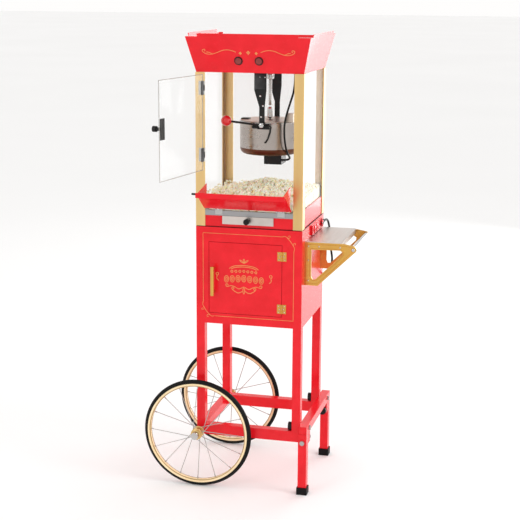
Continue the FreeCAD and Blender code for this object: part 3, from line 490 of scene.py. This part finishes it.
FINISH = {
    "legs": (RED, 1.0), "rails": (RED, 1.0), "crossbars": (RED, 1.0), "foot_legs": (RED, 1.0),
    "foot_caps": (RUBBER, 6.0), "frame_bolts": (STEEL, 0.4), "hand_knobs": (BLACK_PLASTIC, 0.8),
    "axle": (CHROME, 0.5),
    "cabinet_back": (RED, 0.5), "cabinet_left": (RED, 0.5), "cabinet_right": (RED, 0.5),
    "cabinet_floor_and_top": (RED, 0.5), "cabinet_front": (RED, 0.8), "cabinet_door": (RED, 0.8),
    "cabinet_door_hinges": (GOLD, 0.3), "door_pull": (GOLD, 0.6),
    "shelf_brackets": (GOLD, 0.7), "shelf_top": (SHELF_STEEL, 0.4), "push_handle": (CHROME, 0.6),
    "popper_base": (RED, 0.8), "popper_floor": (INSIDE, 0.3), "drawer_runners": (STEEL, 0.3),
    "corner_posts": (BRASS, 0.6), "glass_panes": (PANE, 0.3), "canopy_shell": (RED, 0.6),
    "canopy_panels": (RED, 0.3), "motor": (BLACK_METAL, 0.8), "switch_bezels": (BLACK_PLASTIC, 0.3),
    "kettle_hangers": (BLACK_METAL, 0.4), "cord_outlet": (RED, 1.2), "power_plug": (BLACK_PLASTIC, 0.8),
    "cord_hook": (STEEL, 0.4), "glass_door": (PANE, 0.3), "glass_door_fittings": (BLACK_METAL, 0.5),
    "chute_flap": (RED, 0.3), "drawer": (SHELF_STEEL, 0.4), "drawer_knob": (BLACK_PLASTIC, 0.8),
    "kettle_pot": (ALUMINIUM, 0.4), "kettle_gearbox": (BLACK_METAL, 1.0), "lid_right": (LID_STEEL, 0.25),
    "lid_left": (LID_STEEL, 0.25), "tilt_handle": (BLACK_METAL, 0.4), "handle_ball": (RED_GLOSS, 0.0),
    "stirrer": (CHROME, 0.3), "drive_shaft": (CHROME, 0.4), "switch_left": (LENS, 0.6),
    "switch_right": (LENS, 0.6), "popcorn_heap": (POPCORN, 0.0),
}
for wheel in ("front", "back"):
    FINISH[f"wheel_{wheel}_tyre"] = (RUBBER, 0.0)
    FINISH[f"wheel_{wheel}_rim"] = (CREAM, 0.8)
    FINISH[f"wheel_{wheel}_spokes"] = (STEEL, 0.0)
    FINISH[f"wheel_{wheel}_hub"] = (BRASS, 0.6)
for name, (finish, bevel) in FINISH.items():
    paint(name, finish, bevel)


# ---------------------------------------------------------------- painted lines and ornaments

def mirrored(points):
    return [(-x, z) for x, z in points]


def oval(x, z, wide, high, steps=12):
    return [(x + wide * math.cos(math.tau * k / steps), z + high * math.sin(math.tau * k / steps))
            for k in range(steps + 1)]


# The canopy's front flares outward as it rises from its foot. Painted lines stand a little proud.
CANOPY_FLARE = 32.1
CANOPY_HIGH = 109.3
CANOPY_LEAN = math.atan2(CANOPY_FLARE, CANOPY_HIGH)
CANOPY_FOOT_Y = -150.1
CANOPY_FOOT_Z = 1236.7
PAINT_LIFT = 0.1
FRONT_PAINT_Y = -154.3


def on_canopy(x, z):
    return at(x, CANOPY_FOOT_Y - (z - CANOPY_FOOT_Z) * math.tan(CANOPY_LEAN) - PAINT_LIFT, z)


def on_front(x, z):
    return at(x, FRONT_PAINT_Y, z)


def canopy_scrolls():
    """Two long scrolls with curled ends, and three small rosettes between them."""
    sweep = [(36, 1295), (50, 1301), (72, 1301), (92, 1292), (110, 1287), (124, 1289), (134, 1295),
             (133, 1301), (127, 1302), (124, 1298), (128, 1296)]
    leaf = [(104, 1288), (112, 1294), (122, 1294)]
    lines = []
    for shape in (sweep, leaf):
        lines += [shape, mirrored(shape)]
    for x, z, r in ((-23, 1292, 2.6), (0, 1294, 3.4), (23, 1292, 2.6)):
        lines.append(oval(x, z, r, r))
        lines.append([(x - r * 1.7, z), (x, z), (x + r * 1.7, z)])
        lines.append([(x, z - r * 1.7), (x, z), (x, z + r * 1.7)])
    wires("canopy_scrolls", [[on_canopy(x, z) for x, z in line] for line in lines], 0.75 * MM, "cart",
          GOLD_LINE)


canopy_scrolls()


def cabinet_pinstripe():
    """A thin frame round the cabinet's front, with curls at two opposite corners."""
    left, right, low, high = -137.5, 134.3, 524.2, 772.5
    lines = [
        [(left, low + 42), (left, high), (left, high)],
        [(left, high), (left + 40, high), (right - 34, high)],
        [(right, high - 42), (right, low + 60), (right, low)],
        [(right, low), (left + 60, low), (left + 36, low)],
    ]
    curl = [(0, 42), (-3, 34), (1, 27), (3, 20), (-3, 16), (-6, 20), (-2, 22)]
    sprig = [(34, 0), (27, -3), (20, 2), (14, 4), (10, -1), (13, -5), (17, -2)]
    bow = [(1, 27), (6, 18), (12, 10), (20, 2)]
    for x, z, turn in ((right, high, -1), (left, low, 1)):
        for shape in (curl, sprig, bow):
            lines.append([(x + turn * dx, z + turn * dz) for dx, dz in shape])
    wires("cabinet_pinstripe", [[on_front(x, z) for x, z in line] for line in lines], 0.6 * MM, "cart",
          GOLD_LINE)


cabinet_pinstripe()


def door_ornament():
    """Generic scrollwork on the cabinet door: a crest, two rows of lozenges and a flourish."""
    cx, cz = -14, 638
    lines = [
        [(0, 50), (-3, 57), (0, 64), (3, 57), (0, 50)],
        [(0, 50), (-9, 53), (-14, 60), (-6, 57), (0, 50)],
        [(0, 50), (9, 53), (14, 60), (6, 57), (0, 50)],
    ]
    lines.append([(-44, 32), (-34, 40), (-18, 42), (0, 44), (18, 42), (34, 40), (44, 32)])
    lines.append([(-38, 31), (-30, 36), (-16, 38), (0, 39), (16, 38), (30, 36), (38, 31)])
    for k in range(-3, 4):
        lift = 26 - abs(k) * 0.7
        x = k * 12
        lines.append([(x - 4, lift), (x, lift + 5), (x + 4, lift), (x, lift - 5), (x - 4, lift)])
    for k in range(-3, 4):
        lift = 4 - abs(k) * 1.2
        lines.append(oval(k * 17.5, lift, 6.6, 10))
        lines.append(oval(k * 17.5, lift, 2.6, 5))
    flourish = [(3, -22), (14, -30), (26, -22), (38, -18), (52, -24), (56, -16), (49, -13), (47, -19)]
    under = [(4, -34), (14, -42), (28, -36), (38, -27), (33, -21), (28, -26), (33, -30)]
    side = [(76, -6), (84, 0), (80, 8), (86, 14), (80, 20), (75, 14), (80, 10)]
    for shape in (flourish, under, side):
        lines += [shape, mirrored(shape)]
    lines.append([(0, -20), (-4, -30), (0, -46), (4, -30), (0, -20)])
    wires("door_ornament", [[on_front(cx + x, cz + z) for x, z in line] for line in lines], 0.9 * MM,
          "cabinet_door", GOLD_LINE)


door_ornament()


# ---------------------------------------------------------------- hinges, screws and brackets

def dome_profile(radius, high):
    """A pan screw head: a low dome over a short rim, sunk a little in its seat."""
    return [(0, high), (radius * 0.35, high * 0.96), (radius * 0.7, high * 0.75), (radius * 0.93, high * 0.4),
            (radius, 0.1), (radius, -0.3), (0, -0.3)]


def screws(name, spots, axis, radius, high, body, finish):
    """One mesh of like domed screw heads on one face."""
    form = bmesh.new()
    for spot in spots:
        lathe_into(form, dome_profile(radius, high), at(*spot), axis, 20)
    add(name, made_mesh(name, form), body, finish)


def hinge_details():
    """The hinge leaves as two pieces, brass below and bright above, and the leaves' screws."""
    chute_line = at(0, 0, 800).z
    add("butterfly_leaves", plain_copy("butterfly_leaves", "hinge_leaves", lambda c: c.z < chute_line),
        "cart", GOLD, smooth=False)
    add("chute_leaves", plain_copy("chute_leaves", "hinge_leaves", lambda c: c.z >= chute_line),
        "cart", CHROME, smooth=False)
    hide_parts("hinge_leaves")
    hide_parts("hinge_leaves")
    for name, side, body in (("fixed_leaf_screws", 1, "cart"), ("moving_leaf_screws", -1, "cabinet_door")):
        spots = [(99.5 + side * dx, -156.3, z + dz) for z in (557.8, 714)
                 for dx, dz in ((8.5, 9), (5.5, 0), (8.5, -9))]
        screws(name, spots, (0, -1, 0), 1.7, 0.9, body, CHROME)


hinge_details()


def bracket_details():
    """The pressed bead that follows each bracket's outline, and its bright screws."""
    bead = [(164, 631.5), (195.5, 631.5), (199, 633), (300, 731.5), (303.5, 739), (299, 743.5), (271, 748.2),
            (168, 748.2), (164, 744), (164, 640), (164, 631.5)]
    hem = [(174, 652), (176, 646), (181, 640.5), (191, 640.5), (195, 642), (271, 716.5), (274, 727),
           (270, 734),
           (262, 737), (178, 735.5), (174, 732), (174, 652)]
    lines = []
    for y in (-118.1, 118.1):
        for shape in (bead, hem):
            lines.append([at(x, y, z) for x, z in shape])
    wires("bracket_beads", lines, 1.1 * MM, "cart", GOLD)
    for name, y, axis in (("front_bracket_screws", -118, (0, -1, 0)),
                          ("back_bracket_screws", 118, (0, 1, 0))):
        spots = [(x, y, z) for x, z in ((169, 741.5), (169, 700), (169, 640), (262, 742), (200, 742))]
        screws(name, spots, axis, 2.6, 1.4, "cart", CHROME)
        screws(name + "_bar", [(300, y, 737)], axis, 5.5, 2.6, "cart", CHROME)


bracket_details()


# ---------------------------------------------------------------- wheels

WHEEL_X = -148.7
WHEEL_Y = 182.7
WHEEL_Z = 165.7
AXLE_END_Y = 206.7
SPOKES = 16


def wheel_details(wheel, y):
    """The turned tyre, rim, hub, dust ring and spoke nipples of one wheel."""
    centre = at(WHEEL_X, y, WHEEL_Z)
    body = f"wheel_{wheel}"
    axis = (0, 1, 0)
    tyre = [(154.9, -6.5), (156, -8.2), (159, -9)] + arc_profile(158.5, 0, 7.2, -70, 70, 10) + [
        (159, 9), (156, 8.2), (154.9, 6.5)]
    add(f"{body}_tread", lathe("tread", tyre, centre, axis, closed=True, steps=128), body, RUBBER,
        (f"{body}_tyre",))
    rim = [(154.7, -8.6), (153.8, -10), (151.2, -10), (150.2, -9), (148.4, -8), (146.6, -5), (145.8, 0),
           (146.6, 5), (148.4, 8), (150.2, 9), (151.2, 10), (153.8, 10), (154.7, 8.6)]
    add(f"{body}_felloe", lathe("felloe", rim, centre, axis, closed=True, steps=128), body, CREAM,
        (f"{body}_rim",))
    form = bmesh.new()
    for side in (-1, 1):
        lathe_into(form, [(146.5, side * 6.4), (148.2, side * 8.3), (147.9, side * 8.7), (146.1, side * 6.6),
                          (146.5, side * 6.4)], centre, axis, 96)
    add(f"{body}_rim_edges", made_mesh("edges", form), body, TAN)
    hub = [(6.6, -20), (11, -20), (12, -19), (12, -15), (9, -13.6), (16, -13.2), (17, -12.4), (17, -9.6),
           (16, -9), (8.6, -8.4), (7.6, -5), (7.4, 0), (7.6, 5), (8.6, 8.4), (16, 9), (17, 9.6), (17, 12.4),
           (16, 13.2),
           (9, 13.6), (12, 15), (12, 19), (11, 20), (6.6, 20)]
    add(f"{body}_barrel", lathe("barrel", hub, centre, axis, closed=True, steps=64), body, BRASS,
        (f"{body}_hub",))
    out = -1 if y < 0 else 1
    ring = [(9, out * 20.2), (14.6, out * 20.4), (15.2, out * 21.4), (14, out * 22.6), (11.6, out * 23),
            (9, out * 22.4)]
    add(f"{body}_dust_ring", lathe("ring", ring, centre, axis, closed=True), body, BRASS)
    nipples = bmesh.new()
    for k in range(SPOKES):
        angle = math.tau * k / SPOKES
        away = Vector((math.cos(angle), 0, math.sin(angle)))
        lathe_into(nipples, [(0, 0), (1.9, 0), (1.9, 6), (1.3, 9), (0, 9)], centre + away * 0.1465, -away, 8)
    add(f"{body}_nipples", made_mesh("nipples", nipples), body, CHROME)


wheel_details("front", -WHEEL_Y)
wheel_details("back", WHEEL_Y)


def axle_ends():
    cap = [(0, 10), (5, 9.8), (8.4, 8.6), (10.4, 6), (11, 3), (11, 0), (0, 0)]
    for name, out in (("front", -1), ("back", 1)):
        dome = lathe("cap", cap, at(WHEEL_X, out * AXLE_END_Y, WHEEL_Z), (0, out, 0))
        add(f"axle_cap_{name}", dome, "cart", CHROME)


axle_ends()


# ---------------------------------------------------------------- kettle

def kettle_details():
    axis_at = at(24, 0, 0)
    up = (0, 0, 1)
    bead = [(88.2, 1087.6), (89.6, 1088), (90.1, 1089), (89.6, 1090.1), (88.2, 1090.5), (86.8, 1090.1),
            (86.5, 1089)]
    add("kettle_rim_bead", lathe("bead", bead, axis_at, up, closed=True, steps=96), "kettle", CHROME)
    foot = [(72, 993), (76, 993.6), (80, 995.2), (83.3, 998), (86, 1002), (87.6, 1007), (88, 1012)]
    pot = [(0, 993)] + foot + [(88, 1050), (88, 1086), (88.6, 1088), (89.3, 1089), (88.6, 1090), (86.8, 1090),
                               (86.5, 1088), (86.5, 1012), (85.4, 1004), (82, 999.5), (71.5, 995), (0, 995)]
    add("kettle_shell", lathe("kettle_shell", pot, axis_at, up, steps=128), "kettle", ALUMINIUM,
        ("kettle_pot",))
    # A thin dark copper-brown band over the pot's curved foot: painted dark reflection round its lower curve.
    tint = [(r + 0.12, z - 0.1) for r, z in foot] + [(r - 0.1, z + 0.12) for r, z in reversed(foot)]
    ball = arc_profile(0, 1095.2, 15.5, -90, 90, 20)
    add("handle_knob", lathe("handle_knob", ball, at(-81, -103.5, 0), up), "kettle", RED_GLOSS,
        ("handle_ball",))
    bell = [(0, 1129), (4.6, 1129), (6, 1128), (7, 1124), (8.6, 1108), (9.5, 1101), (9.3, 1099.6), (4, 1097),
            (3.5, 1094), (3.5, 1002), (0, 1002)]
    add("stirrer_bell", lathe("stirrer_bell", bell, axis_at, up), "stirrer", CHROME)
    shaft = [(0, 1134), (4.4, 1134), (5, 1134.8), (5, 1209), (6.5, 1210.7), (10.2, 1210.9), (11, 1212),
             (11, 1229.4),
             (10.2, 1230.5), (5, 1230.7), (5, 1266.7), (0, 1266.7)]
    add("drive_spindle", lathe("drive_spindle", shaft, axis_at, up), "drive_shaft", CHROME,
        ("drive_shaft",))
    add("kettle_painted_foot_band", lathe("tint", tint, axis_at, up, closed=True, steps=96), "kettle", FOOT_REFLECTION_PAINT)
    # A bent locking lever on the front of the pot, on its own pivot plate.
    lever = [at(*spot) for spot in ((36, -92, 1083), (44, -96, 1084), (50, -97, 1080), (47, -96, 1064),
                                    (41, -96, 1046), (35, -94.6, 1036), (31, -94, 1034))]
    add("kettle_lever", tube_mesh("lever", lever, 0.0026, 14), "kettle", BLACK_METAL)
    form = bmesh.new()
    block_into(form, at(8, -93.5, 1072), at(44, -88, 1089), 1.4)
    block_into(form, at(-4, -96.5, 1074), at(10, -90, 1086), 1.2)
    lathe_into(form, [(0, 6), (3, 6), (4, 5), (4, 0), (0, 0)], at(-2, -96, 1080), (0, -1, 0), 16)
    add("kettle_latch", made_mesh("latch", form), "kettle", BLACK_METAL)
    tab = bmesh.new()
    block_into(tab, at(-60, -20, 1091), at(-36, 6, 1096), 1.6)
    add("lid_tab", made_mesh("tab", tab), "lid_left", BLACK_METAL)
    nut = bmesh.new()
    lathe_into(nut, [(0, 3), (6, 3), (7.6, 2), (8, 0), (0, 0)], at(24, -107.8, 1085), (0, -1, 0), 6)
    add("handle_nut", made_mesh("nut", nut), "kettle", CHROME)
    for name, y, out in (("front", -97, -1), ("back", 97, 1)):
        spots = [(17, y, 1222), (31, y, 1222), (18, y, 1168), (26, y, 1140), (21, y, 1108)]
        screws(f"hanger_rivets_{name}", spots, (0, out, 0), 3.1, 1.5, "cart", CHROME)
    plate = bmesh.new()
    block_into(plate, at(1.5, -98.4, 1188), at(32, -97.1, 1236), 0.5)
    block_into(plate, at(1.5, -98.2, 1186), at(5, -86, 1236), 0.5)
    add("hanger_plate", made_mesh("plate", plate), "cart", DULL_STEEL)


kettle_details()


# ---------------------------------------------------------------- popcorn

def mound(x, y):
    """The height of the heaped corn over the cabin's floor, in millimetres."""
    high = 876 + 28 * math.exp(-((x - 12) / 80) ** 2 - ((y - 34) / 90) ** 2)
    high += 8 * math.exp(-((x - 112) / 50) ** 2 - ((y - 30) / 90) ** 2)
    if y < -84:
        high -= (-84 - y) * 0.12
    return high - max(0, -x - 70) * 0.12


def ball_template():
    """The corners and faces of a small round lobe."""
    form = bmesh.new()
    bmesh.ops.create_icosphere(form, subdivisions=1, radius=1.0)
    corners = [vertex.co.copy() for vertex in form.verts]
    faces = [[vertex.index for vertex in face.verts] for face in form.faces]
    form.free()
    return corners, faces


LOBE = ball_template()


def any_way():
    return Vector((random.gauss(0, 1), random.gauss(0, 1), random.gauss(0, 1))).normalized()


def popped(corners, faces, spot, size):
    """One popped kernel: a few round lobes burst out of a small core."""
    heading = any_way()
    for _ in range(random.randint(3, 5)):
        away = (any_way() + heading * 0.3).normalized()
        wide = size * random.uniform(0.42, 0.62)
        middle = spot + away * size * random.uniform(0.3, 0.5)
        first = len(corners)
        corners.extend(middle + corner * wide * random.uniform(0.86, 1.14) for corner in LOBE[0])
        faces.extend([first + index for index in face] for face in LOBE[1])


COVER_KERNELS = 1050
PANE_KERNELS = 420


def popcorn():
    """The heap's body under a loose cover of kernels, and smaller ones against the panes."""
    form = bmesh.new()
    columns, rows = 60, 58
    grid = []
    for j in range(rows + 1):
        row = []
        for i in range(columns + 1):
            y = -145 + 290 * j / rows
            half = 120 if y < -84 else 150
            x = -half + 2 * half * i / columns
            row.append(form.verts.new(at(x, y, mound(x, y) - 3 + random.uniform(-2.4, 2.4))))
        grid.append(row)
    for j in range(rows):
        for i in range(columns):
            form.faces.new((grid[j][i], grid[j][i + 1], grid[j + 1][i + 1], grid[j + 1][i]))
    border = [grid[0][i] for i in range(columns + 1)] + [grid[j][columns] for j in range(1, rows + 1)]
    border += [grid[rows][i] for i in range(columns - 1, -1, -1)]
    border += [grid[j][0] for j in range(rows - 1, 0, -1)]
    floor = [form.verts.new((v.co.x, v.co.y, 0.8405)) for v in border]
    for k in range(len(border)):
        after = (k + 1) % len(border)
        form.faces.new((border[k], border[after], floor[after], floor[k]))
    form.faces.new(floor)
    add("popcorn_body", made_mesh("popcorn_body", form), "cart", POPCORN, ("popcorn_heap",))
    corners, faces = [], []
    for _ in range(COVER_KERNELS):
        y = random.uniform(-142, 142)
        half = 110 if y < -78 else 146
        x = random.uniform(-half, half)
        size = random.uniform(6.0, 9.2)
        lift = mound(x, y) + random.uniform(-3, 3.5)
        popped(corners, faces, at(x, y, lift), size * MM)
    for _ in range(PANE_KERNELS):
        side = random.choice((0, 1, 2))
        z = random.uniform(852, 884)
        if side < 2:
            x, y = (-146, 146)[side] + random.uniform(-1, 0.5), random.uniform(-80, 142)
        else:
            x, y = random.uniform(-146, 146), 142
        popped(corners, faces, at(x, y, z), random.uniform(3.4, 4.6) * MM)
    mesh = bpy.data.meshes.new("kernels")
    mesh.from_pydata(corners, [], faces)
    add("popcorn_kernels", mesh, "cart", POPCORN, ("popcorn_heap",))


popcorn()


# ---------------------------------------------------------------- cabin, base and stand

def cabin_details():
    """The glass door's edges, painted shadow strips in the gap under the cabin, and the outlet's round lobes
    and slots.
    """
    left, right, low, high = 6.1, 264.9, 958.1, 1230.9
    edge = [[(left, low), (right, low)], [(right, low), (right, high)], [(right, high), (left, high)],
            [(left, high), (left, low)]]
    door_turn = math.radians(-100)
    away = Vector((math.cos(door_turn), math.sin(door_turn), 0))
    hinge = Vector((-133, -159, 0))
    lines = []
    for pair in edge:
        spots = [hinge + away * u + Vector((0, 0, z)) for u, z in pair]
        middle = (spots[0] + spots[1]) / 2
        lines.append([at(*spots[0]), at(*middle), at(*spots[1])])
    wires("glass_door_edges", lines, 1.05 * MM, "glass_door", PANE_EDGE)
    # Thin dark strips along the joint under the cabin: painted shadow of the gap, not a separate part.
    form = bmesh.new()
    block_into(form, at(157.2, -152, 790.5), at(158.9, 152, 793.5), 0.4)
    block_into(form, at(-158.9, -152, 790.5), at(-157.2, 152, 793.5), 0.4)
    block_into(form, at(-156.8, -154.4, 790.8), at(156.8, -153, 793.2), 0.4)
    add("base_gap_shadow", made_mesh("gap_shadow_strips", form), "cart", GAP_SHADOW)
    lobes = bmesh.new()
    for y in (-6, 28):
        lathe_into(lobes, [(0, 3.2), (10, 3), (12.4, 2), (13, 0), (0, 0)], at(164.6, y, 771), (1, 0, 0), 32)
    lathe_into(lobes, [(4.2, 3), (7, 2.8), (9.4, 2), (10.4, 0), (4.2, 0)], at(167.8, 92, 772), (1, 0, 0), 24)
    add("outlet_lobes", made_mesh("lobes", lobes), "cart", RED)
    # The slots are thin black blocks laid on the lobes' faces: painted shade of the openings.
    slots = bmesh.new()
    for y in (-6, 28):
        for dy in (-3.4, 3.4):
            block_into(slots, at(167.6, y + dy - 0.8, 768), at(167.95, y + dy + 0.8, 775), 0.1)
    add("outlet_slots", made_mesh("slots", slots), "cart", BLACK_PLASTIC)


cabin_details()


def chute_details():
    """Bright sleeves on the flap's knuckles, and the stub at the left end of its lip."""
    form = bmesh.new()
    for x in (-93.7, 91.3):
        lathe_into(form, [(1.7, 0), (3.15, 0), (3.3, 0.3), (3.3, 9.1), (3.15, 9.4), (1.7, 9.4)],
                   at(x, -157, 845),
                   (1, 0, 0), 24)
    add("chute_sleeves", made_mesh("sleeves", form), "chute_flap", CHROME)
    stub = bmesh.new()
    lathe_into(stub, [(0, 13), (2.6, 12.6), (3, 11.6), (3, 0), (0, 0)], at(-130.6, -245.6, 900.6),
               (-1, 0, 0), 20)
    add("chute_stub", made_mesh("stub", stub), "chute_flap", BLACK_PLASTIC)


chute_details()


def stand_details():
    """Plugs in the open ends of the square tubes."""
    form = bmesh.new()
    for y in (-141.5, 141.5):
        block_into(form, at(181.6, y - 11, 156), at(184.0, y + 11, 183.6), 1.0)
        block_into(form, at(-158.6, y - 11, 156), at(-156.4, y + 11, 183.6), 1.0)
    for y in (-1, 1):
        near, far = sorted((y * 177.2, y * 179.5))
        block_into(form, at(160.4, near, 187.8), at(182.4, far, 209.6), 1.0)
    add("tube_plugs", made_mesh("plugs", form), "cart", RED)


stand_details()


# ---------------------------------------------------------------- floor, lights

def studio():
    form = bmesh.new()
    block_into(form, Vector((-60, -40, -0.05)), Vector((60, 60, 0)), 1.0)
    floor = bpy.data.objects.new("floor", made_mesh("floor", form))
    bpy.context.collection.objects.link(floor)
    floor.data.materials.append(material("floor_paper", (0.93, 0.93, 0.93), (0.91, 0.91, 0.91), (0.6, 0.7),
                                         scale=3, bumps=(0.01, 0.0002)))
    world = bpy.data.worlds.new("studio")
    world.use_nodes = True
    world.node_tree.nodes["Background"].inputs["Color"].default_value = (1.0, 0.99, 0.98, 1)
    world.node_tree.nodes["Background"].inputs["Strength"].default_value = 1.0
    bpy.context.scene.world = world
    for name, spot, aim, power, wide in (
        ("right_light", (3.2, -0.6, 2.0), (0.1, 0.1, 0.8), 34, 1.4),
        ("back_right_light", (1.9, 3.6, 1.3), (0.1, 0.1, 0.9), 60, 2.4),
        ("front_light", (-1.9, -3.4, 2.2), (0, 0, 0.9), 16, 1.0),
    ):
        data = bpy.data.lights.new(name, "AREA")
        data.energy = power
        data.size = wide
        lamp = bpy.data.objects.new(name, data)
        bpy.context.collection.objects.link(lamp)
        lamp.location = spot
        lamp.rotation_euler = (Vector(aim) - Vector(spot)).to_track_quat("-Z", "Y").to_euler()


studio()
bpy.context.scene.view_settings.view_transform = "Standard"
